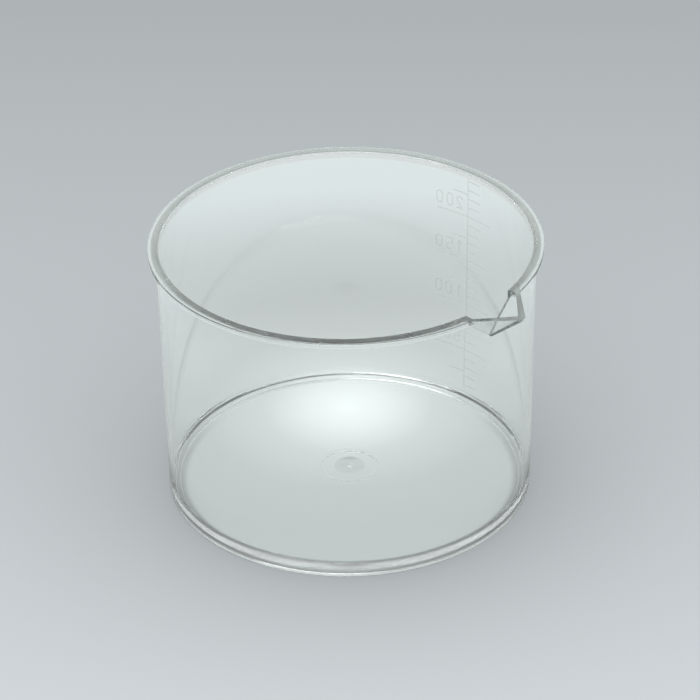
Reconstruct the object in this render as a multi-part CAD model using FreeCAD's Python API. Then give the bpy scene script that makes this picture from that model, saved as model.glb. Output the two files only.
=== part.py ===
import FreeCAD, Part

import math
import os

from FreeCAD import Vector

# Clear moulded low-form beaker, 250 ml to the brim. Millimetres, +Z up, origin at the centre of the
# standing plane, pouring spout towards +X, graduation towards +Y. The real beaker is one injection
# moulding: every node below is one feature of that moulding, and neighbours meet face to face.

# Driving dimensions
HEIGHT = 57.4
RIM_RADIUS = 41.0  # outer edge of the flange round the mouth
WALL_TOP_RADIUS = 39.45  # outer face of the wall at the mouth
WALL = 0.9  # thickness, measured level
DRAFT = math.radians(0.95)  # the wall leans in towards the base
FLANGE_DEPTH = 1.1
FLANGE_CHAMFER = 0.6  # under the flange, against the wall
EDGE_ROUND = 0.2  # free edges of the mouth: a radius inside, a chamfer outside
FOOT_HEIGHT = 0.9  # the floor is held this far off the table by the foot ring
FOOT_WIDTH = 2.2
FOOT_ROUND = 0.3
FLOOR_TOP = 2.3
CORNER_RADIUS = 1.6  # inside, between floor and wall

# Gate mark in the middle of the floor
GATE_RADIUS = 6.25
GATE_STEP = 0.2  # the pad stands this far above the floor, and its underside is as much higher
DISH_RADIUS = 3.3
DISH_DEPTH = 0.45
NUB_RADIUS = 0.75
NUB_HEIGHT = 0.5

# Spout: two flat cheeks that meet in a sloping crease. Each slope is taken from the mouth's plane.
SPOUT_REACH = 47.6  # outer end of the nose
CHEEK_APEX = 48.3  # where the outer faces would meet at the mouth's plane
CHEEK_SPREAD = 0.966  # half-width gained per millimetre back from the apex
CHEEK_SLOPE = 0.833  # fall of the outer crease per millimetre back from the apex
TROUGH_APEX = 46.1
TROUGH_SPREAD = 1.1
TROUGH_SLOPE = 0.9
NOTCH_HALF_WIDTH = 6.6  # the trough is no wider than this where it cuts the wall

# Raised graduation on the outside of the wall
RELIEF = 0.15
LINE_WIDTH = 0.3
FULL_MARK = 50  # ml between the numbered lines
HALF_MARK = 25
FINE_MARK = 10
LAST_NUMBER = 200
LAST_TICK = 240
SCALE_AZIMUTH = 90.0  # degrees from the spout
NUMBER_SIDE = 7.9  # length of a numbered line on the side of its numerals
TICK_SIDE = 6.8  # and on the side of the fine ticks
HALF_LENGTH = 4.3
TICK_LENGTH = 3.4
DIGIT_HEIGHT = 3.1
DIGIT_WIDTH = 1.7
DIGIT_PITCH = 2.6
DIGIT_LIFT = 1.2  # numerals stand this far above their line
FIRST_DIGIT = 2.3  # centre of the first numeral, from the spine

# Sizes that follow
TAPER = math.tan(DRAFT)
JOIN_HEIGHT = FLOOR_TOP + CORNER_RADIUS  # wall above, heel below
FLANGE_FOOT = HEIGHT - FLANGE_DEPTH
FLANGE_ROOT = FLANGE_FOOT - FLANGE_CHAMFER
HUB = Vector(0, 0, 0)
UP = Vector(0, 0, 1)
WELL = 30.0  # a radius well inside the wall, where cutting tools begin
CLEAR = 2.0  # how far cutting tools pass the faces they cut
TOOL = 120.0  # side of a cutting block larger than the beaker


def outer_radius(z):
    return WALL_TOP_RADIUS - (HEIGHT - z) * TAPER


def inner_radius(z):
    return outer_radius(z) - WALL


def point(radius, z):
    return Vector(radius, 0, z)


def edges_through(corners):
    pairs = zip(corners, corners[1:] + corners[:1])
    return [Part.makeLine(a, b) for a, b in pairs]


def turned(edges, degrees=360.0, start=180.0):
    """Solid swept by a closed outline in the XZ plane, from azimuth start; a ring's seam is at the back."""
    solid = Part.Face(Part.Wire(edges)).revolve(HUB, UP, degrees)
    solid.rotate(HUB, UP, start)
    return solid


def quarter(centre, radius, first, last):
    """Arc in the XZ plane about centre, between two angles in degrees."""
    angles = [math.radians(a) for a in (first, (first + last) / 2, last)]
    ends = [centre + Vector(math.cos(a), 0, math.sin(a)) * radius for a in angles]
    return Part.Arc(*ends).toShape()


def tetrahedron(a, b, c, d):
    faces = [Part.Face(Part.makePolygon([p, q, r, p])) for p, q, r in
             ((a, b, c), (a, c, d), (a, d, b), (b, d, c))]
    solid = Part.Solid(Part.Shell(faces))
    if solid.Volume < 0:
        solid.reverse()
    return solid


def wedge(apex, spread, slope, above=0.0):
    """V-shaped wedge pointing along +X, with its flat top this far above the mouth."""
    top = HEIGHT + above
    tip = apex + above / slope
    half = spread * (tip - WELL)
    return tetrahedron(Vector(tip, 0, top), Vector(WELL, half, top),
                       Vector(WELL, 0, top - slope * (tip - WELL)), Vector(WELL, -half, top))


def trough():
    """Hollow of the spout, which also cuts the notch in the wall."""
    slab = Part.makeBox(TOOL, 2 * NOTCH_HALF_WIDTH, TOOL, Vector(WELL, -NOTCH_HALF_WIDTH, 0))
    return wedge(TROUGH_APEX, TROUGH_SPREAD, TROUGH_SLOPE, CLEAR).common(slab)


def side_wall():
    foot_inside = point(inner_radius(JOIN_HEIGHT), JOIN_HEIGHT)
    foot_outside = point(outer_radius(JOIN_HEIGHT), JOIN_HEIGHT)
    lip = point(WALL_TOP_RADIUS, HEIGHT)
    centre = point(inner_radius(HEIGHT) + EDGE_ROUND, HEIGHT - EDGE_ROUND)
    outline = [
        Part.makeLine(foot_inside, foot_outside),
        Part.makeLine(foot_outside, lip),
        Part.makeLine(lip, centre + UP * EDGE_ROUND),
        quarter(centre, EDGE_ROUND, 90, 180),
        Part.makeLine(centre - point(EDGE_ROUND, 0), foot_inside),
    ]
    return turned(outline).cut(trough())


def rim_flange():
    root = outer_radius(FLANGE_ROOT)
    outline = edges_through([
        point(WALL_TOP_RADIUS, HEIGHT), point(root, FLANGE_ROOT),
        point(root + FLANGE_CHAMFER, FLANGE_FOOT), point(RIM_RADIUS, FLANGE_FOOT),
        point(RIM_RADIUS, HEIGHT - EDGE_ROUND), point(RIM_RADIUS - EDGE_ROUND, HEIGHT)])
    return turned(outline).cut(wedge(CHEEK_APEX, CHEEK_SPREAD, CHEEK_SLOPE, CLEAR))


def spout_cheek(side):
    """One half of the spout, on the +Y side for side 1 and the -Y side for side -1."""
    outside = wedge(CHEEK_APEX, CHEEK_SPREAD, CHEEK_SLOPE)
    body_core = turned(edges_through([HUB, point(outer_radius(0), 0), point(WALL_TOP_RADIUS, HEIGHT),
                                      point(WALL_TOP_RADIUS, HEIGHT + CLEAR), point(0, HEIGHT + CLEAR)]))
    reach = Part.makeCylinder(SPOUT_REACH, HEIGHT)
    half_space = Part.makeBox(TOOL, TOOL, TOOL, Vector(0, 0 if side > 0 else -TOOL, 0))
    return outside.cut(body_core).cut(trough()).common(reach).common(half_space)


def heel_ring():
    """Lower end of the wall and the filleted corner that joins it to the floor."""
    floor_edge = inner_radius(JOIN_HEIGHT) - CORNER_RADIUS
    under = point(floor_edge, FOOT_HEIGHT)
    low = point(outer_radius(FOOT_HEIGHT), FOOT_HEIGHT)
    high = point(outer_radius(JOIN_HEIGHT), JOIN_HEIGHT)
    outline = [
        Part.makeLine(under, low),
        Part.makeLine(low, high),
        Part.makeLine(high, point(inner_radius(JOIN_HEIGHT), JOIN_HEIGHT)),
        quarter(point(floor_edge, JOIN_HEIGHT), CORNER_RADIUS, 0, -90),
        Part.makeLine(point(floor_edge, FLOOR_TOP), under),
    ]
    return turned(outline)


def foot_ring():
    outside = outer_radius(FOOT_HEIGHT)
    inside = outside - FOOT_WIDTH
    rounded = FOOT_ROUND
    outline = [
        Part.makeLine(point(inside, FOOT_HEIGHT), point(inside, rounded)),
        quarter(point(inside + rounded, rounded), rounded, 180, 270),
        Part.makeLine(point(inside + rounded, 0), point(outside - rounded, 0)),
        quarter(point(outside - rounded, rounded), rounded, -90, 0),
        Part.makeLine(point(outside, rounded), point(outside, FOOT_HEIGHT)),
        Part.makeLine(point(outside, FOOT_HEIGHT), point(inside, FOOT_HEIGHT)),
    ]
    return turned(outline)


def floor_plate():
    floor_edge = inner_radius(JOIN_HEIGHT) - CORNER_RADIUS
    return turned(edges_through([point(GATE_RADIUS, FOOT_HEIGHT), point(floor_edge, FOOT_HEIGHT),
                                 point(floor_edge, FLOOR_TOP), point(GATE_RADIUS, FLOOR_TOP)]))


def gate_pad():
    """Stepped disc in the middle of the floor, with a shallow round dish in its top."""
    under = FOOT_HEIGHT + GATE_STEP
    top = FLOOR_TOP + GATE_STEP
    lowest = point(0, top - DISH_DEPTH)
    halfway = point(DISH_RADIUS / 2, top - DISH_DEPTH * 3 / 4)
    outline = [
        Part.makeLine(point(0, under), point(GATE_RADIUS, under)),
        Part.makeLine(point(GATE_RADIUS, under), point(GATE_RADIUS, top)),
        Part.makeLine(point(GATE_RADIUS, top), point(DISH_RADIUS, top)),
        Part.Arc(point(DISH_RADIUS, top), halfway, lowest).toShape(),
        Part.makeLine(lowest, point(0, under)),
    ]
    return turned(outline).cut(gate_nub())


def gate_nub():
    """Domed remnant of the gate, rooted in the dish."""
    seat = FLOOR_TOP + GATE_STEP - DISH_DEPTH - NUB_HEIGHT / 2
    post = Part.makeCylinder(NUB_RADIUS, 2 * NUB_HEIGHT, Vector(0, 0, seat))
    dome_radius = (NUB_RADIUS ** 2 + NUB_HEIGHT ** 2) / (2 * NUB_HEIGHT)
    return post.common(Part.makeSphere(dome_radius, Vector(0, 0, seat + 1.5 * NUB_HEIGHT - dome_radius)))


def level_of(millilitres):
    """Height at which the inside holds this volume, from the cone frustum above the floor."""
    low = inner_radius(FLOOR_TOP)
    volume = millilitres * 1000.0
    cone = low ** 3 + 3 * TAPER * volume / math.pi
    return FLOOR_TOP + (cone ** (1 / 3) - low) / TAPER


def band(low, high, start_mm, end_mm):
    """Raised patch on the wall between two heights and two distances round it from the spine."""
    outline = edges_through([point(outer_radius(low), low), point(outer_radius(low) + RELIEF, low),
                             point(outer_radius(high) + RELIEF, high), point(outer_radius(high), high)])
    per_degree = math.pi * outer_radius((low + high) / 2) / 180
    return turned(outline, (end_mm - start_mm) / per_degree, SCALE_AZIMUTH + start_mm / per_degree)


def level_line(millilitres, start_mm, end_mm):
    """Level raised line, broken where it meets the spine, which is its own piece."""
    z = level_of(millilitres)
    low, high = z - LINE_WIDTH / 2, z + LINE_WIDTH / 2
    spine = LINE_WIDTH / 2
    if start_mm < -spine < spine < end_mm:
        return Part.makeCompound([band(low, high, start_mm, -spine), band(low, high, spine, end_mm)])
    return band(low, high, start_mm, end_mm)


def stroke(a, b, cap=LINE_WIDTH / 2):
    """Straight stroke of a numeral from a to b, with square ends that run past them by cap."""
    start, end = Vector(a[0], 0, a[1]), Vector(b[0], 0, b[1])
    along = (end - start).normalize()
    side = along.cross(Vector(0, 1, 0)) * (LINE_WIDTH / 2)
    start, end = start - along * cap, end + along * cap
    return Part.Face(Part.makePolygon([start + side, end + side, end - side, start - side, start + side]))


def bowl(centre, radius, first, last):
    """Round stroke of a numeral, between two angles in degrees, anticlockwise from first to last."""
    hub = point(*centre)
    outer = quarter(hub, radius + LINE_WIDTH / 2, first, last)
    inner = quarter(hub, radius - LINE_WIDTH / 2, last, first)
    sides = [Part.makeLine(outer.lastVertex().Point, inner.firstVertex().Point),
             Part.makeLine(inner.lastVertex().Point, outer.firstVertex().Point)]
    return Part.Face(Part.Wire([outer, sides[0], inner, sides[1]]))


def digit_faces(digit):
    """Flat strokes of one digit, its lowest line's middle at height 0 and its centre at 0 across."""
    w = (DIGIT_WIDTH - LINE_WIDTH) / 2
    top = DIGIT_HEIGHT - LINE_WIDTH
    crown = top - w
    if digit == "0":
        return [bowl((0, crown), w, 0, 180), bowl((0, w), w, 180, 360),
                stroke((w, w), (w, crown), 0), stroke((-w, w), (-w, crown), 0)]
    if digit == "1":
        return [stroke((0, 0), (0, top)), stroke((-w, crown), (0, top), 0)]
    if digit == "2":
        turn = math.radians(-40)
        leave = (w * math.cos(turn), crown + w * math.sin(turn))
        slant = stroke(leave, (-w, 0), LINE_WIDTH / 4)
        return [bowl((0, crown), w, -40, 170), slant, stroke((-w, 0), (w, 0))]
    waist = 2 * w + LINE_WIDTH / 4
    return [bowl((0, w), w, -150, 110), stroke((-w, waist), (0, 2 * w), 0),
            stroke((-w, waist), (-w, top)), stroke((-w, top), (w, top))]


def numeral(number):
    """Raised digits standing on their line; they read from left to right from outside."""
    text = str(number)
    low = level_of(number) + DIGIT_LIFT
    shell_low, shell_high = low - CLEAR / 4, low + DIGIT_HEIGHT + CLEAR / 4
    shell = band(shell_low, shell_high, 0, FIRST_DIGIT + DIGIT_PITCH * len(text))
    solids = []
    for place, digit in enumerate(text):
        strokes = [face.extrude(Vector(0, -2 * CLEAR, 0)) for face in digit_faces(digit)]
        block = strokes[0].multiFuse(strokes[1:]).removeSplitter()
        block.translate(Vector(0, CLEAR - outer_radius(low), low + LINE_WIDTH / 2))
        along = FIRST_DIGIT + DIGIT_PITCH * place
        block.rotate(HUB, UP, 90 + SCALE_AZIMUTH + math.degrees(along / outer_radius(low)))
        solids += block.common(shell).Solids
    return Part.makeCompound(solids)


def export(shape, name):
    if not shape.isValid() or not shape.Solids:
        raise ValueError(name + " is not a valid solid")
    shape.exportStep(os.path.join("parts", name + ".step"))


def graduation():
    """Every raised mark, by node name."""
    marks = {"scale_spine": band(JOIN_HEIGHT, FLANGE_ROOT, -LINE_WIDTH / 2, LINE_WIDTH / 2)}
    for level in range(FINE_MARK, LAST_TICK + 1, FINE_MARK):
        if level % FULL_MARK:
            marks["tick_%03d" % level] = level_line(level, -TICK_LENGTH, -LINE_WIDTH / 2)
    for level in range(HALF_MARK, LAST_TICK, FULL_MARK):
        marks["half_line_%03d" % level] = level_line(level, LINE_WIDTH / 2, HALF_LENGTH)
    for level in range(FULL_MARK, LAST_NUMBER + 1, FULL_MARK):
        marks["full_line_%03d" % level] = level_line(level, -TICK_SIDE, NUMBER_SIDE)
        marks["numeral_%03d" % level] = numeral(level)
    return marks


os.makedirs("parts", exist_ok=True)
nodes = {
    "side_wall": side_wall(),
    "rim_flange": rim_flange(),
    "spout_cheek_left": spout_cheek(1),
    "spout_cheek_right": spout_cheek(-1),
    "heel_ring": heel_ring(),
    "foot_ring": foot_ring(),
    "floor_plate": floor_plate(),
    "gate_pad": gate_pad(),
    "gate_nub": gate_nub(),
}
nodes.update(graduation())
for node_name, node_shape in nodes.items():
    export(node_shape, node_name)
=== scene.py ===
import math

import bmesh
import bpy
from mathutils import Matrix, Vector

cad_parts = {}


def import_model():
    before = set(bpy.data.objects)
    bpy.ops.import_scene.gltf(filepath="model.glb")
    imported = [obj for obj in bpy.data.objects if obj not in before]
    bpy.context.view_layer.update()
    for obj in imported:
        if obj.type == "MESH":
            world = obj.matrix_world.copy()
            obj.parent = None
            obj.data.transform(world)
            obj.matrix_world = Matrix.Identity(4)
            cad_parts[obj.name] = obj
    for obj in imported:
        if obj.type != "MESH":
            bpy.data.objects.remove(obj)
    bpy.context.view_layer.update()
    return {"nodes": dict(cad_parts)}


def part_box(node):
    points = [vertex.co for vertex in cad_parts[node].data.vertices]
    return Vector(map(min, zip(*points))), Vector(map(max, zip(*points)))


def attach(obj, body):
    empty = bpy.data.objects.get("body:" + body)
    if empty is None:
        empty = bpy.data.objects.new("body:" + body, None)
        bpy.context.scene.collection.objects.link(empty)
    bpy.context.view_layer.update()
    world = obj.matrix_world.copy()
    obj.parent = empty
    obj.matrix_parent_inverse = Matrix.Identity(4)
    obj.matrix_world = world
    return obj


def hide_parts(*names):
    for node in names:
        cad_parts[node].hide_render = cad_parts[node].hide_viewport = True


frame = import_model()

# A clear moulded beaker with a rim flange, a V spout and a raised graduation. Metres, +Z up, spout towards +X,
# graduation towards +Y. Every piece stands for one CAD node. Neighbours share their meeting faces, which carry
# a fully transparent material, so that the moulding looks like the single piece of plastic it is.

# ---------------------------------------------------------------- sizes, from the frame where it holds them
RIM_LOW, RIM_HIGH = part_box("rim_flange")
WALL_LOW, WALL_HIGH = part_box("side_wall")
HEEL_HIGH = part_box("heel_ring")[1]
FOOT_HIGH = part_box("foot_ring")[1]
FLOOR_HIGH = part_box("floor_plate")[1]
PAD_LOW, PAD_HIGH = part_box("gate_pad")
NUB_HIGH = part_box("gate_nub")[1]
CHEEK_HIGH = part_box("spout_cheek_left")[1]

HEIGHT = RIM_HIGH.z
RIM_RADIUS = RIM_HIGH.y
FLANGE_ROOT = RIM_LOW.z
WALL_TOP_RADIUS = WALL_HIGH.y
JOIN_HEIGHT = WALL_LOW.z
TAPER = (WALL_TOP_RADIUS - HEEL_HIGH.y) / (HEIGHT - JOIN_HEIGHT)
FOOT_HEIGHT = FOOT_HIGH.z
FLOOR_TOP = FLOOR_HIGH.z
FLOOR_EDGE = FLOOR_HIGH.y
CORNER_RADIUS = JOIN_HEIGHT - FLOOR_TOP
GATE_RADIUS = PAD_HIGH.y
SPOUT_REACH = CHEEK_HIGH.x

WALL = 0.0009
FLANGE_DEPTH = 0.0011
FLANGE_FOOT = HEIGHT - FLANGE_DEPTH
FLANGE_CHAMFER = 0.0006
EDGE_ROUND = 0.0002
LAND = 0.0017  # the dull flat at the mouth, outwards from its inner edge, tinted dark as painted shade
FOOT_WIDTH = 0.0022
FOOT_ROUND = 0.0003
DISH_RADIUS = 0.0033
DISH_DEPTH = 0.00045
NUB_RADIUS = NUB_HIGH.y
NUB_GAP = 0.00003
NUB_EDGE = 0.0001

# The spout is a V: its apex at the mouth's plane, and its half-width and fall for each unit back from the apex.
CHEEK_APEX = 0.0483
CHEEK_SPREAD = 0.966
CHEEK_SLOPE = 0.833
TROUGH_APEX = 0.0461
TROUGH_SPREAD = 1.1
TROUGH_SLOPE = 0.9
NOTCH_HALF_WIDTH = 0.0066
SPOUT_ROUND = 0.00022
WELL = 0.030  # a radius well inside the wall, where cutting tools begin
CLEAR = 0.002  # how far cutting tools pass the faces they cut
NOTCH_ROUND = 0.00012

RELIEF = 0.00015
LINE_WIDTH = 0.0003
AIR = 0.00001  # the marks stand clear of the wall by this much
DIGIT_HEIGHT = 0.0031
DIGIT_WIDTH = 0.0017
DIGIT_PITCH = 0.0026
FIRST_DIGIT = 0.0023

SEGMENTS = 384  # round the whole beaker
GATE_SEGMENTS = 128
NUB_SEGMENTS = 64
PLASTIC, JOINT, EDGE = 0, 1, 2  # material places on a piece: clear skin, hidden meeting face, dull face tinted dark as painted shade

# Tests for faces and edges
ON_PLANE = 1e-6
SAME_PLACE = 1e-7
SNAP = 1e-8
FACING = 0.9  # a face that looks this much along a direction looks along it


def outer_radius(z):
    return WALL_TOP_RADIUS - (HEIGHT - z) * TAPER


def inner_radius(z):
    return outer_radius(z) - WALL


# ---------------------------------------------------------------- materials
def linear(r, g, b):
    """Scene colour of an 8-bit display colour."""
    def channel(v):
        v = v / 255
        return v / 12.92 if v <= 0.04045 else ((v + 0.055) / 1.055) ** 2.4
    return (channel(r), channel(g), channel(b), 1.0)


PLASTIC_IOR = 1.55
MARK_IOR = 1.14  # the marks bend light less than the wall, so that they stay as faint as thin raised lines are
SHADOW_TINT = (0.965, 0.975, 0.975, 1)
POLISH_SCALE, POLISH_DETAIL, POLISH_SWING = 60, 4, 0.4
FLOW_SCALE, FLOW_DETAIL, FLOW_DEPTH, RIPPLE = 35, 2, 0.0005, 0.02


def clear_plastic(name, colour, transmission, roughness, ior=PLASTIC_IOR):
    """Clear polymer: refracts and reflects, with a faint haze, flow ripples and uneven polish."""
    mat = bpy.data.materials.new(name)
    mat.use_nodes = True
    tree = mat.node_tree
    tree.nodes.clear()
    link = tree.links.new
    out = tree.nodes.new("ShaderNodeOutputMaterial")
    mix = tree.nodes.new("ShaderNodeMixShader")
    path = tree.nodes.new("ShaderNodeLightPath")
    skin = tree.nodes.new("ShaderNodeBsdfPrincipled")
    clear = tree.nodes.new("ShaderNodeBsdfTransparent")
    clear.inputs["Color"].default_value = SHADOW_TINT
    skin.inputs["Base Color"].default_value = colour
    skin.inputs["Transmission Weight"].default_value = transmission
    skin.inputs["IOR"].default_value = ior
    coords = tree.nodes.new("ShaderNodeTexCoord")
    polish = tree.nodes.new("ShaderNodeTexNoise")
    polish.inputs["Scale"].default_value = POLISH_SCALE
    polish.inputs["Detail"].default_value = POLISH_DETAIL
    spread = tree.nodes.new("ShaderNodeMapRange")
    spread.inputs["To Min"].default_value = roughness * (1 - POLISH_SWING)
    spread.inputs["To Max"].default_value = roughness * (1 + POLISH_SWING)
    flow = tree.nodes.new("ShaderNodeTexNoise")
    flow.inputs["Scale"].default_value = FLOW_SCALE
    flow.inputs["Detail"].default_value = FLOW_DETAIL
    bump = tree.nodes.new("ShaderNodeBump")
    bump.inputs["Strength"].default_value = RIPPLE
    bump.inputs["Distance"].default_value = FLOW_DEPTH
    link(coords.outputs["Object"], polish.inputs["Vector"])
    link(coords.outputs["Object"], flow.inputs["Vector"])
    link(polish.outputs["Fac"], spread.inputs["Value"])
    link(spread.outputs["Result"], skin.inputs["Roughness"])
    link(flow.outputs["Fac"], bump.inputs["Height"])
    link(bump.outputs["Normal"], skin.inputs["Normal"])
    link(path.outputs["Is Shadow Ray"], mix.inputs[0])
    link(skin.outputs[0], mix.inputs[1])
    link(clear.outputs[0], mix.inputs[2])
    link(mix.outputs[0], out.inputs["Surface"])
    return mat


def joint_face():
    """Where two pieces of the one moulding meet: nothing to see."""
    mat = bpy.data.materials.new("joint_face")
    mat.use_nodes = True
    tree = mat.node_tree
    tree.nodes.clear()
    out = tree.nodes.new("ShaderNodeOutputMaterial")
    clear = tree.nodes.new("ShaderNodeBsdfTransparent")
    tree.links.new(clear.outputs[0], out.inputs["Surface"])
    return mat


BODY = clear_plastic("clear_plastic", (0.96, 0.98, 0.975, 1), 0.985, 0.02)
# rim tops, notch sides and spout tops: dull, and tinted dark as painted shade for the grey band that light leaves
# there
DULL_SHADED_EDGE = clear_plastic("rim_edge_painted_shade_plastic", (0.46, 0.49, 0.46, 1), 0.95, 0.28)
MARK = clear_plastic("mark_plastic", (0.90, 0.91, 0.90, 1), 0.985, 0.08, MARK_IOR)
# gate dish: matte, and tinted grey as painted shade for the crescent of shading round the gate
SHADED_DISH = clear_plastic("gate_dish_painted_shade_plastic", (0.80, 0.82, 0.81, 1), 0.97, 0.22)
HIDDEN = joint_face()


# ---------------------------------------------------------------- mesh helpers
def arc(centre, radius, first, last, steps=8):
    """Points of an arc in the outline plane, between two angles in degrees."""
    turn = [math.radians(first + (last - first) * i / steps) for i in range(steps + 1)]
    return [(centre[0] + radius * math.cos(a), centre[1] + radius * math.sin(a)) for a in turn]


def turned(outline, kinds=None, segments=SEGMENTS):
    """bmesh swept round Z from a closed outline of (radius, height); kinds[i] is the material of its i-th edge."""
    bm = bmesh.new()
    rings = []
    for radius, height in outline:
        if radius < SAME_PLACE:
            rings.append([bm.verts.new((0, 0, height))] * segments)
            continue
        ring = []
        for i in range(segments):
            a = 2 * math.pi * i / segments
            ring.append(bm.verts.new((radius * math.cos(a), radius * math.sin(a), height)))
        rings.append(ring)
    for k in range(len(outline)):
        below, above = rings[k], rings[(k + 1) % len(outline)]
        if below[0] is below[1] and above[0] is above[1]:
            continue
        for i in range(segments):
            j = (i + 1) % segments
            corners = [below[i], below[j], above[j], above[i]]
            unique = [v for n, v in enumerate(corners) if v not in corners[:n]]
            face = bm.faces.new(unique)
            face.material_index = kinds[k] if kinds else PLASTIC
    bmesh.ops.recalc_face_normals(bm, faces=bm.faces)
    return bm


def wedge(apex, spread, slope, above=0.0, kind=PLASTIC):
    """V wedge pointing along +X, its flat top this far above the mouth."""
    top = HEIGHT + above
    tip = apex + above / slope
    back = tip - WELL
    bm = bmesh.new()
    corners = [bm.verts.new(p) for p in ((tip, 0, top), (WELL, spread * back, top),
                                         (WELL, 0, top - slope * back), (WELL, -spread * back, top))]
    for a, b, c in ((0, 1, 2), (0, 2, 3), (0, 3, 1), (1, 3, 2)):
        face = bm.faces.new((corners[a], corners[b], corners[c]))
        face.material_index = kind
    bmesh.ops.recalc_face_normals(bm, faces=bm.faces)
    return bm


def slab(low, high):
    bm = bmesh.new()
    bmesh.ops.create_cube(bm, size=1)
    size, middle = high - low, (high + low) / 2
    bmesh.ops.transform(bm, matrix=Matrix.Translation(middle) @ Matrix.Diagonal((*size, 1)), verts=bm.verts)
    return bm


def scratch_object(bm):
    mesh = bpy.data.meshes.new("scratch")
    bm.to_mesh(mesh)
    bm.free()
    for mat in (BODY, HIDDEN, DULL_SHADED_EDGE):
        mesh.materials.append(mat)
    obj = bpy.data.objects.new("scratch", mesh)
    bpy.context.scene.collection.objects.link(obj)
    return obj


def combined(bm, tool, operation):
    """Exact boolean of two bmeshes; both are used up. Cut faces keep the tool's materials."""
    base, cutter = scratch_object(bm), scratch_object(tool)
    change = base.modifiers.new("boolean", "BOOLEAN")
    change.operation = operation
    change.solver = "EXACT"
    change.object = cutter
    ready = base.evaluated_get(bpy.context.evaluated_depsgraph_get())
    result = bmesh.new()
    result.from_mesh(ready.to_mesh())
    ready.to_mesh_clear()
    for obj in (base, cutter):
        mesh = obj.data
        bpy.data.objects.remove(obj)
        bpy.data.meshes.remove(mesh)
    bmesh.ops.remove_doubles(result, verts=result.verts, dist=SAME_PLACE)
    return result


def trough():
    """The spout's channel, no wider than the notch it makes in the wall."""
    hollow = wedge(TROUGH_APEX, TROUGH_SPREAD, TROUGH_SLOPE, CLEAR)
    low = Vector((WELL - CLEAR, -NOTCH_HALF_WIDTH, CLEAR))
    high = Vector((2 * WELL, NOTCH_HALF_WIDTH, 2 * HEIGHT))
    return combined(hollow, slab(low, high), "INTERSECT")


def split(bm, place, normal, faces=None, cut_away=False):
    """Parts the mesh, or only some faces, along a plane, and can cut away the side that the normal points to."""
    chosen = set(bm.faces if faces is None else faces)
    parts = [part for kind in (bm.verts, bm.edges) for part in kind if chosen.intersection(part.link_faces)]
    parts += [face for face in bm.faces if face in chosen]
    bmesh.ops.bisect_plane(bm, geom=parts, plane_co=place, plane_no=normal, clear_outer=cut_away, dist=SNAP)


def cheek_planes():
    """Outward normals of the two outer faces of the spout; both pass through the apex."""
    apex = Vector((CHEEK_APEX, 0, HEIGHT))
    crease = Vector((-1, 0, -CHEEK_SLOPE))
    normals = []
    for side in (1, -1):
        edge = Vector((-1, side * CHEEK_SPREAD, 0))
        normal = edge.cross(crease).normalized()
        normals.append(normal if normal.y * side > 0 else -normal)
    return apex, normals


def turn_of(edge):
    """Degrees by which the surface turns at an edge."""
    return math.degrees(edge.calc_face_angle(0)) if len(edge.link_faces) == 2 else 0.0


def soften(bm, radius, limit, keep=lambda edge: True, steps=3):
    """Rounds the free edges that turn by more than limit degrees."""
    sharp = [e for e in bm.edges if keep(e) and turn_of(e) > limit
             and all(f.material_index != JOINT for f in e.link_faces)]
    bmesh.ops.bevel(bm, geom=sharp, offset=radius, segments=steps, affect="EDGES", profile=0.5, clamp_overlap=True)


def in_order(bm):
    """The same mesh with its parts in order of place, because bevels and cuts leave that order to chance."""
    verts = sorted(bm.verts, key=lambda vert: tuple(vert.co))
    rank = {vert: i for i, vert in enumerate(verts)}
    loops = []
    for face in bm.faces:
        corners = [rank[vert] for vert in face.verts]
        loops.append((sorted(corners), corners, face.material_index))
    ordered = bmesh.new()
    made = [ordered.verts.new(vert.co) for vert in verts]
    for _, corners, kind in sorted(loops):
        ordered.faces.new([made[i] for i in corners]).material_index = kind
    bm.free()
    ordered.normal_update()
    return ordered


def piece(bm, name, mats=(), smooth_limit=40):
    """Makes the finished object that stands for the CAD node of that name."""
    bmesh.ops.dissolve_degenerate(bm, edges=bm.edges, dist=SNAP)
    bm = in_order(bm)
    for face in bm.faces:
        face.smooth = True
    for edge in bm.edges:
        edge.smooth = turn_of(edge) <= smooth_limit
    mesh = bpy.data.meshes.new("clear_" + name)
    bm.to_mesh(mesh)
    bm.free()
    for mat in mats or (BODY, HIDDEN, DULL_SHADED_EDGE):
        mesh.materials.append(mat)
    obj = bpy.data.objects.new("clear_" + name, mesh)
    bpy.context.scene.collection.objects.link(obj)
    weigh = obj.modifiers.new("normals", "WEIGHTED_NORMAL")
    weigh.keep_sharp = True
    weigh.weight = 75
    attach(obj, "root")
    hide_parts(name)


# ---------------------------------------------------------------- the moulding
def side_wall():
    top = inner_radius(HEIGHT)
    lip = arc((top + EDGE_ROUND, HEIGHT - EDGE_ROUND), EDGE_ROUND, 90, 180, 6)
    outline = [(inner_radius(JOIN_HEIGHT), JOIN_HEIGHT), (outer_radius(JOIN_HEIGHT), JOIN_HEIGHT),
               (outer_radius(FLANGE_ROOT), FLANGE_ROOT), (WALL_TOP_RADIUS, HEIGHT)] + lip
    kinds = [JOINT, PLASTIC, JOINT, EDGE] + [PLASTIC] * len(lip)
    bm = combined(turned(outline, kinds), trough(), "DIFFERENCE")
    soften(bm, NOTCH_ROUND, limit=50, keep=at_notch)
    apex, normals = cheek_planes()
    for normal in normals:
        split(bm, apex, normal, [f for f in bm.faces if outside_of_wall(f) and f.calc_center_median().x > WELL])
    for face in bm.faces:
        middle = face.calc_center_median()
        if outside_of_wall(face) and middle.x > WELL and all((middle - apex).dot(n) < 0 for n in normals):
            face.material_index = JOINT
        elif abs(abs(middle.y) - NOTCH_HALF_WIDTH) < AIR and abs(face.normal.y) > FACING:
            face.material_index = EDGE
    piece(bm, "side_wall")


def at_notch(edge):
    """True for an edge of the opening that the spout's channel makes in the wall."""
    reach = NOTCH_HALF_WIDTH * 1.02
    return all(v.co.x > WELL and abs(v.co.y) < reach for v in edge.verts)


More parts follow.
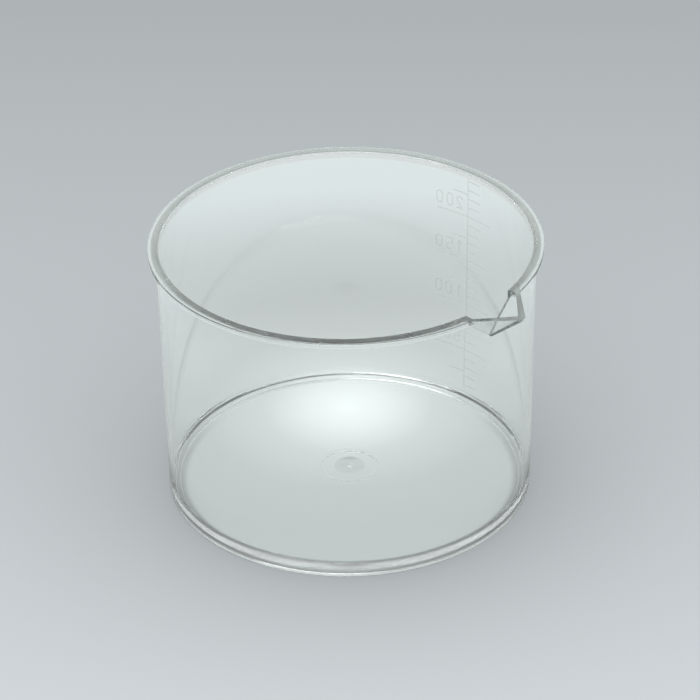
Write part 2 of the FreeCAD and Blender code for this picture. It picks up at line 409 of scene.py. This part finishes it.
def outside_of_wall(face):
    """True for a face on the wall's outer cone."""
    middle = face.calc_center_median()
    radius = math.hypot(middle.x, middle.y)
    outwards = face.normal.x * middle.x + face.normal.y * middle.y
    return abs(radius - outer_radius(middle.z)) < WALL / 8 and abs(face.normal.z) < 0.3 and outwards > radius / 2


def rim_flange():
    root = outer_radius(FLANGE_ROOT)
    inset = RIM_RADIUS - EDGE_ROUND
    low_round = arc((inset, FLANGE_FOOT + EDGE_ROUND), EDGE_ROUND, -90, 0, 6)
    top_round = arc((inset, HEIGHT - EDGE_ROUND), EDGE_ROUND, 0, 90, 6)
    outline = [(WALL_TOP_RADIUS, HEIGHT), (root, FLANGE_ROOT), (root + FLANGE_CHAMFER, FLANGE_FOOT)]
    outline += low_round + top_round + [(inner_radius(HEIGHT) + LAND, HEIGHT)]
    kinds = [JOINT] + [PLASTIC] * (len(outline) - 2) + [EDGE]
    spout = wedge(CHEEK_APEX, CHEEK_SPREAD, CHEEK_SLOPE, CLEAR, JOINT)
    piece(combined(turned(outline, kinds), spout, "DIFFERENCE"), "rim_flange")


def spout_cheeks():
    """Both halves of the spout, made as one, rounded, and then parted along the crease."""
    core_outline = [(0, 0), (outer_radius(0), 0), (WALL_TOP_RADIUS, HEIGHT), (WALL_TOP_RADIUS, HEIGHT + CLEAR),
                    (0, HEIGHT + CLEAR)]
    core = turned(core_outline, [JOINT] * len(core_outline))
    bm = combined(wedge(CHEEK_APEX, CHEEK_SPREAD, CHEEK_SLOPE), core, "DIFFERENCE")
    bm = combined(bm, trough(), "DIFFERENCE")
    split(bm, (SPOUT_REACH, 0, 0), (1, 0, 0), cut_away=True)
    close(bm, PLASTIC)
    soften(bm, SPOUT_ROUND, limit=20, steps=4)
    bmesh.ops.remove_doubles(bm, verts=bm.verts, dist=SAME_PLACE)
    mark_flange_joints(bm)
    for face in bm.faces:
        if face.normal.z > FACING and face.calc_center_median().z > HEIGHT - SPOUT_ROUND / 4:
            face.material_index = EDGE
    for name, side in (("spout_cheek_left", 1), ("spout_cheek_right", -1)):
        half = bm.copy()
        split(half, (0, 0, 0), (0, -side, 0), cut_away=True)
        close(half, JOINT)
        piece(half, name)
    bm.free()


def close(bm, kind):
    """Fills the openings left by a cut, with faces of this kind."""
    known = set(bm.faces)
    bmesh.ops.holes_fill(bm, edges=[e for e in bm.edges if e.is_boundary])
    for face in set(bm.faces) - known:
        face.material_index = kind
    bmesh.ops.recalc_face_normals(bm, faces=bm.faces)


def mark_flange_joints(bm):
    """Parts the spout's outer faces along the flange's profile, and hides what the flange covers."""
    apex, normals = cheek_planes()
    azimuth = flange_meeting_azimuth()
    down = Vector((0, 0, -1))
    for side, normal in zip((1, -1), normals):
        out = Vector((math.cos(azimuth), side * math.sin(azimuth), 0))
        root = out * outer_radius(FLANGE_ROOT) - down * FLANGE_ROOT
        limits = [(-FLANGE_FOOT * down, down), (out * RIM_RADIUS, out), (root, (out + down).normalized())]
        for place, limit in limits:
            split(bm, place, limit)
        for face in bm.faces:
            middle = face.calc_center_median()
            if abs((middle - apex).dot(normal)) < ON_PLANE and face.normal.dot(normal) > FACING:
                below, beyond, outside = ((middle - place).dot(limit) > 0 for place, limit in limits)
                if not beyond and not (below and outside):
                    face.material_index = JOINT


def flange_meeting_azimuth():
    """Azimuth at which the spout's outer faces meet the flange's edge, at the mouth."""
    # The cheek's line y = spread * (apex - x), put into x^2 + y^2 = RIM_RADIUS^2, gives a quadratic in x.
    a = 1 + CHEEK_SPREAD ** 2
    b = -2 * CHEEK_SPREAD ** 2 * CHEEK_APEX
    c = CHEEK_SPREAD ** 2 * CHEEK_APEX ** 2 - RIM_RADIUS ** 2
    x = (-b + math.sqrt(b * b - 4 * a * c)) / (2 * a)
    return math.atan2(CHEEK_SPREAD * (CHEEK_APEX - x), x)


def heel_ring():
    fillet = arc((FLOOR_EDGE, JOIN_HEIGHT), CORNER_RADIUS, 0, -90, 12)
    outline = [(FLOOR_EDGE, FOOT_HEIGHT), (outer_radius(FOOT_HEIGHT) - FOOT_WIDTH, FOOT_HEIGHT),
               (outer_radius(FOOT_HEIGHT), FOOT_HEIGHT), (outer_radius(JOIN_HEIGHT), JOIN_HEIGHT)] + fillet
    kinds = [PLASTIC, JOINT, PLASTIC, JOINT] + [PLASTIC] * (len(fillet) - 1) + [JOINT]
    piece(turned(outline, kinds), "heel_ring")


def foot_ring():
    outside = outer_radius(FOOT_HEIGHT)
    inside = outside - FOOT_WIDTH
    outline = [(inside, FOOT_HEIGHT)] + arc((inside + FOOT_ROUND, FOOT_ROUND), FOOT_ROUND, 180, 270, 6)
    outline += arc((outside - FOOT_ROUND, FOOT_ROUND), FOOT_ROUND, -90, 0, 6) + [(outside, FOOT_HEIGHT)]
    piece(turned(outline, [PLASTIC] * (len(outline) - 1) + [JOINT]), "foot_ring")


def floor_plate():
    outline = [(GATE_RADIUS, FOOT_HEIGHT), (FLOOR_EDGE, FOOT_HEIGHT),
               (FLOOR_EDGE, FLOOR_TOP), (GATE_RADIUS, FLOOR_TOP)]
    piece(turned(outline, [PLASTIC, JOINT, PLASTIC, JOINT]), "floor_plate")


def gate_pad():
    """Stepped disc with a shallow, duller dish in its top, the dish tinted grey as painted shade."""
    under, top = PAD_LOW.z, PAD_HIGH.z
    ball = (DISH_RADIUS ** 2 + DISH_DEPTH ** 2) / (2 * DISH_DEPTH)
    half = math.degrees(math.asin(DISH_RADIUS / ball))
    dish = arc((0, top - DISH_DEPTH + ball), ball, -90 + half, -90, 10)
    outline = [(0, under), (GATE_RADIUS, under), (GATE_RADIUS, FLOOR_TOP), (GATE_RADIUS, top)] + dish
    kinds = [PLASTIC, JOINT, PLASTIC, PLASTIC] + [EDGE] * (len(dish) - 1) + [PLASTIC]
    piece(turned(outline, kinds, GATE_SEGMENTS), "gate_pad", mats=(BODY, HIDDEN, SHADED_DISH))


def gate_nub():
    """Small dome a hair above the dish, with a softened lower edge."""
    low = PAD_HIGH.z - DISH_DEPTH + NUB_GAP
    shoulder = low + NUB_EDGE
    rise = NUB_HIGH.z - shoulder
    turns = [math.radians(15 * step) for step in range(1, 6)]
    outline = [(0, low), (NUB_RADIUS * 0.9, low + NUB_EDGE / 5), (NUB_RADIUS, shoulder)]
    outline += [(NUB_RADIUS * math.cos(a), shoulder + rise * math.sin(a)) for a in turns] + [(0, NUB_HIGH.z)]
    piece(turned(outline, None, NUB_SEGMENTS), "gate_nub")


# ---------------------------------------------------------------- the raised graduation
RIBBON = ((-0.5, 0.0), (-0.47, 0.55), (-0.3, 0.95), (0.3, 0.95), (0.47, 0.55), (0.5, 0.0))  # across, up
MITRE_LIMIT = 1.6
STEP = 0.0005  # longest straight stretch of a mark


def on_wall(along, height, lift):
    """Point at a distance round the wall from the spine, standing off it by lift."""
    radius = outer_radius(height)
    turn = math.pi / 2 + along / radius
    out = radius + AIR + lift
    return Vector((out * math.cos(turn), out * math.sin(turn), height))


def divided(path):
    """The same path with no stretch longer than STEP."""
    points = [Vector(path[0])]
    for a, b in zip(path, path[1:]):
        a, b = Vector(a), Vector(b)
        count = max(1, math.ceil((b - a).length / STEP))
        points += [a.lerp(b, i / count) for i in range(1, count + 1)]
    return points


def ribbon(bm, path, closed=False):
    """Raised line with rounded shoulders, along a path of (distance from the spine, height)."""
    points = divided(path)
    if closed:
        points.pop()
    rows = []
    for i, here in enumerate(points):
        before = points[i - 1] if i or closed else None
        after = points[(i + 1) % len(points)] if i + 1 < len(points) or closed else None
        way_in = (here - before).normalized() if before is not None else (after - here).normalized()
        way_out = (after - here).normalized() if after is not None else way_in
        middle = way_in + way_out
        middle = middle.normalized() if middle.length > 1e-6 else way_in
        stretch = min(1 / max(middle.dot(way_out), 1e-3), MITRE_LIMIT)
        across = Vector((-middle.y, middle.x)) * stretch * LINE_WIDTH
        rows.append([bm.verts.new(on_wall(here.x + across.x * s, here.y + across.y * s, h * RELIEF))
                     for s, h in RIBBON])
    for i in range(len(rows) if closed else len(rows) - 1):
        low, high = rows[i], rows[(i + 1) % len(rows)]
        for k in range(len(RIBBON)):
            n = (k + 1) % len(RIBBON)
            bm.faces.new((low[k], low[n], high[n], high[k]))
    if not closed:
        bm.faces.new(rows[0])
        bm.faces.new(reversed(rows[-1]))
    bmesh.ops.recalc_face_normals(bm, faces=bm.faces)


def mark(name, *paths):
    bm = bmesh.new()
    for path in paths:
        ribbon(bm, path, closed=path[0] == path[-1])
    piece(bm, name, (MARK,), 70)


def span_of(name):
    """Distances from the spine between which a mark lies, and its middle height."""
    low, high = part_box(name)
    middle = (low.z + high.z) / 2
    radius = outer_radius(middle)
    return radius * math.asin(-high.x / (radius + RELIEF)), radius * math.asin(-low.x / (radius + RELIEF)), middle


def level_mark(name):
    """A line at one height, in two parts where the spine crosses it."""
    start, end, height = span_of(name)
    gap = LINE_WIDTH / 2
    if start < -gap and end > gap:
        mark(name, [(start, height), (-gap, height)], [(gap, height), (end, height)])
    else:
        mark(name, [(start, height), (end, height)])


def digit_path(digit):
    """Line of one digit, its lowest line's middle at height 0 and its centre at 0 across."""
    w = (DIGIT_WIDTH - LINE_WIDTH) / 2
    top = DIGIT_HEIGHT - LINE_WIDTH
    crown = top - w
    if digit == "0":
        ring = arc((0, crown), w, 0, 180) + arc((0, w), w, 180, 360)
        return ring + [ring[0]]
    if digit == "1":
        return [(-w, crown), (0, top), (0, 0)]
    if digit == "2":
        return arc((0, crown), w, 170, -40) + [(-w, 0), (w, 0)]
    return [(w, top), (-w, top), (-w, 2 * w + LINE_WIDTH / 4)] + arc((0, w), w, 110, -150, 12)


def numeral(name):
    text = str(int(name[-3:]))
    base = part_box(name)[0].z + LINE_WIDTH / 2
    paths = []
    for place, digit in enumerate(text):
        middle = FIRST_DIGIT + DIGIT_PITCH * place
        paths.append([(middle + x, base + y) for x, y in digit_path(digit)])
    mark(name, *paths)


def graduation():
    low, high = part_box("scale_spine")
    mark("scale_spine", [(0, low.z), (0, high.z - 2 * AIR)])
    for name in sorted(frame["nodes"]):
        if name.startswith(("tick_", "half_line_", "full_line_")):
            level_mark(name)
        elif name.startswith("numeral_"):
            numeral(name)


# ---------------------------------------------------------------- stage
SPOUT_TURN = math.radians(42.4)  # from straight right of the camera to the spout
AWAY = Matrix.Rotation(SPOUT_TURN, 3, "Z") @ Vector((0, 1, 0))
RIGHT = Matrix.Rotation(SPOUT_TURN, 3, "Z") @ Vector((1, 0, 0))
SEEN_NEAR, SEEN_FAR = -0.22, 0.28  # the tones that the camera sees run between these distances away
SEEN_TONES = ((0.0, linear(222, 226, 229)), (0.5, linear(189, 193, 196)), (1.0, linear(161, 165, 167)))
HORIZON = linear(160, 165, 167)
FADE_FROM, FADE_TO = 0.5, 2.2  # the floor melts into the horizon between these distances
PAINTED_GLOW_PLACE = 0.026  # painted pool of light: the brightest patch of the glowing table that the plastic sees, behind the middle of the beaker
PAINTED_GLOW_REACH = 0.10
PAINTED_GLOW_TONES = ((0.0, 1.18), (0.09, 1.02), (0.19, 0.74), (0.33, 0.60), (0.5, 0.58), (0.75, 0.67), (1.0, 0.82))
NEAR_TINT, FAR_TINT = Vector((0.955, 1.0, 0.995)), Vector((0.925, 1.0, 1.0))
# Painted contact shadow: a darker ring in the glowing table where the foot meets it, as (radius, share), and its
# painted shade tones, darkest at the front and sides and gone at the back, as (distance away, tone).
PAINTED_SHADOW_RING = ((0.0, 0.0), (0.0345, 0.0), (0.0358, 1.0), (0.0392, 1.0), (0.044, 0.25), (0.050, 0.0))
PAINTED_SHADOW_TONES = ((-0.038, 0.50), (-0.022, 0.32), (-0.004, 0.42), (0.008, 0.60), (0.024, 1.0))
TONE_TOP = 2  # a ramp's colours stop at 1, so tones are divided by this in a ramp and multiplied by it after
STUDIO = 0.75
STUDIO_TINT = (0.97, 1.0, 1.0, 1)
FLOOR_RADIUS = 6
FLOOR_SEGMENTS = 128
FLOOR_GAP = 0.00003  # keeps the table clear of the foot's own underside


def ramp(tree, low, high, stops):
    """Colour ramp over a value; stops are (place, colour)."""
    spread = tree.nodes.new("ShaderNodeMapRange")
    spread.inputs["From Min"].default_value = low
    spread.inputs["From Max"].default_value = high
    colours = tree.nodes.new("ShaderNodeValToRGB")
    tree.links.new(spread.outputs["Result"], colours.inputs["Fac"])
    band = colours.color_ramp
    while len(band.elements) < len(stops):
        band.elements.new(1.0)
    for element, (place, colour) in zip(band.elements, stops):
        element.position = place
        element.color = colour
    return spread.inputs["Value"], colours.outputs["Color"]


def stage_material():
    """Pale sweep. The camera sees a plain grey slope of tone. The plastic refracts and reflects a brighter table
    that glows as painted light, with a painted pool of light behind the beaker and a painted contact shadow ring
    under the foot.
    """
    mat = bpy.data.materials.new("floor")
    mat.use_nodes = True
    tree = mat.node_tree
    tree.nodes.clear()
    link = tree.links.new
    out = tree.nodes.new("ShaderNodeOutputMaterial")
    mix = tree.nodes.new("ShaderNodeMixShader")
    path = tree.nodes.new("ShaderNodeLightPath")
    place = tree.nodes.new("ShaderNodeNewGeometry")
    away = tree.nodes.new("ShaderNodeVectorMath")
    away.operation = "DOT_PRODUCT"
    away.inputs[1].default_value = AWAY
    seen = tree.nodes.new("ShaderNodeBsdfDiffuse")
    value, colour = ramp(tree, SEEN_NEAR, SEEN_FAR, SEEN_TONES)
    link(place.outputs["Position"], away.inputs[0])
    link(away.outputs["Value"], value)
    link(colour, seen.inputs["Color"])
    distance = tree.nodes.new("ShaderNodeVectorMath")
    distance.operation = "DISTANCE"
    distance.inputs[1].default_value = AWAY * PAINTED_GLOW_PLACE
    # painted light: what the plastic sees of the table is emission, brightest in a painted pool of light behind
    # the beaker
    painted_glow = tree.nodes.new("ShaderNodeEmission")
    tones = [(stop, (*(NEAR_TINT.lerp(FAR_TINT, stop) * tone / TONE_TOP), 1)) for stop, tone in PAINTED_GLOW_TONES]
    value, colour = ramp(tree, 0, PAINTED_GLOW_REACH, tones)
    link(place.outputs["Position"], distance.inputs[0])
    link(distance.outputs["Value"], value)
    link(colour, painted_glow.inputs["Color"])
    # painted contact shadow: a dark ring in the painted glow, under the foot
    edge = PAINTED_SHADOW_RING[-1][0]
    ring = [(radius / edge, (*[share] * 3, 1)) for radius, share in PAINTED_SHADOW_RING]
    from_axis, contact = ramp(tree, 0, edge, ring)
    front, back = PAINTED_SHADOW_TONES[0][0], PAINTED_SHADOW_TONES[-1][0]
    depths = [((far - front) / (back - front), (*[TONE_TOP * tone] * 3, 1)) for far, tone in PAINTED_SHADOW_TONES]
    along, dark = ramp(tree, front, back, depths)
    shade = tree.nodes.new("ShaderNodeMix")
    shade.inputs["A"].default_value = TONE_TOP
    link(away.outputs["Value"], along)
    link(contact, shade.inputs["Factor"])
    link(dark, shade.inputs["B"])
    link(shade.outputs["Result"], painted_glow.inputs["Strength"])
    link(path.outputs["Is Camera Ray"], mix.inputs[0])
    link(painted_glow.outputs[0], mix.inputs[1])
    link(seen.outputs[0], mix.inputs[2])
    reach = tree.nodes.new("ShaderNodeVectorMath")
    reach.operation = "LENGTH"
    fade = tree.nodes.new("ShaderNodeMapRange")
    fade.interpolation_type = "SMOOTHSTEP"
    fade.inputs["From Min"].default_value = FADE_FROM
    fade.inputs["From Max"].default_value = FADE_TO
    gone = tree.nodes.new("ShaderNodeBsdfTransparent")
    melt = tree.nodes.new("ShaderNodeMixShader")
    link(place.outputs["Position"], reach.inputs[0])
    link(reach.outputs["Value"], from_axis)
    link(reach.outputs["Value"], fade.inputs["Value"])
    link(fade.outputs["Result"], melt.inputs[0])
    link(mix.outputs[0], melt.inputs[1])
    link(gone.outputs[0], melt.inputs[2])
    link(melt.outputs[0], out.inputs["Surface"])
    return mat


def floor():
    bm = bmesh.new()
    bmesh.ops.create_circle(bm, cap_ends=True, segments=FLOOR_SEGMENTS, radius=FLOOR_RADIUS)
    mesh = bpy.data.meshes.new("floor")
    bm.to_mesh(mesh)
    bm.free()
    mesh.materials.append(stage_material())
    obj = bpy.data.objects.new("floor", mesh)
    obj.location.z = -FLOOR_GAP
    bpy.context.scene.collection.objects.link(obj)


def world():
    """Even white studio, seen by the camera only as the plain tone behind the floor."""
    made = bpy.data.worlds.new("studio")
    bpy.context.scene.world = made
    made.use_nodes = True
    tree = made.node_tree
    tree.nodes.clear()
    link = tree.links.new
    out = tree.nodes.new("ShaderNodeOutputWorld")
    mix = tree.nodes.new("ShaderNodeMixShader")
    path = tree.nodes.new("ShaderNodeLightPath")
    studio = tree.nodes.new("ShaderNodeBackground")
    studio.inputs["Color"].default_value = STUDIO_TINT
    studio.inputs["Strength"].default_value = STUDIO
    seen = tree.nodes.new("ShaderNodeBackground")
    seen.inputs["Color"].default_value = HORIZON
    link(path.outputs["Is Camera Ray"], mix.inputs[0])
    link(studio.outputs[0], mix.inputs[1])
    link(seen.outputs[0], mix.inputs[2])
    link(mix.outputs[0], out.inputs["Surface"])


KEY_PLACE = -RIGHT * 0.5 + AWAY * 0.2 + Vector((0, 0, 2.4))
KEY_SIZE = 1.4
KEY_POWER = 24


def key_light():
    data = bpy.data.lights.new("key", "AREA")
    data.size = KEY_SIZE
    data.energy = KEY_POWER
    obj = bpy.data.objects.new("key", data)
    bpy.context.scene.collection.objects.link(obj)
    obj.location = KEY_PLACE
    obj.rotation_euler = (-KEY_PLACE).to_track_quat("-Z", "Y").to_euler()


# ---------------------------------------------------------------- camera
ELEVATION = math.radians(31.57)
DISTANCE = 18.954 * RIM_RADIUS
ROLL = math.radians(-0.95)
LENS = 190.3  # millimetres
NEAREST = 0.01
AIM = RIGHT * 0.0125 * RIM_RADIUS + Vector((0, 0, 0.757 * RIM_RADIUS))


def camera():
    back = -AWAY * math.cos(ELEVATION) + Vector((0, 0, math.sin(ELEVATION)))
    up = back.cross(RIGHT)
    x_axis = RIGHT * math.cos(ROLL) + up * math.sin(ROLL)
    y_axis = up * math.cos(ROLL) - RIGHT * math.sin(ROLL)
    data = bpy.data.cameras.new("camera")
    data.lens = LENS
    data.clip_start = NEAREST
    obj = bpy.data.objects.new("camera", data)
    bpy.context.scene.collection.objects.link(obj)
    turn = Matrix((x_axis, y_axis, back)).transposed().to_4x4()
    obj.matrix_world = Matrix.Translation(AIM + back * DISTANCE) @ turn
    bpy.context.scene.camera = obj


camera()
side_wall()
rim_flange()
spout_cheeks()
heel_ring()
foot_ring()
floor_plate()
gate_pad()
gate_nub()
graduation()
floor()
world()
key_light()

BOUNCES = 96  # light runs down inside the wall by many reflections
DIFFUSE_BOUNCES = 4
CLEAR_BOUNCES = 48
scene = bpy.context.scene
scene.view_settings.view_transform = "Standard"
scene.cycles.max_bounces = BOUNCES
scene.cycles.transmission_bounces = BOUNCES
scene.cycles.glossy_bounces = BOUNCES
scene.cycles.diffuse_bounces = DIFFUSE_BOUNCES
scene.cycles.transparent_max_bounces = CLEAR_BOUNCES
scene.cycles.caustics_reflective = False
scene.cycles.caustics_refractive = False
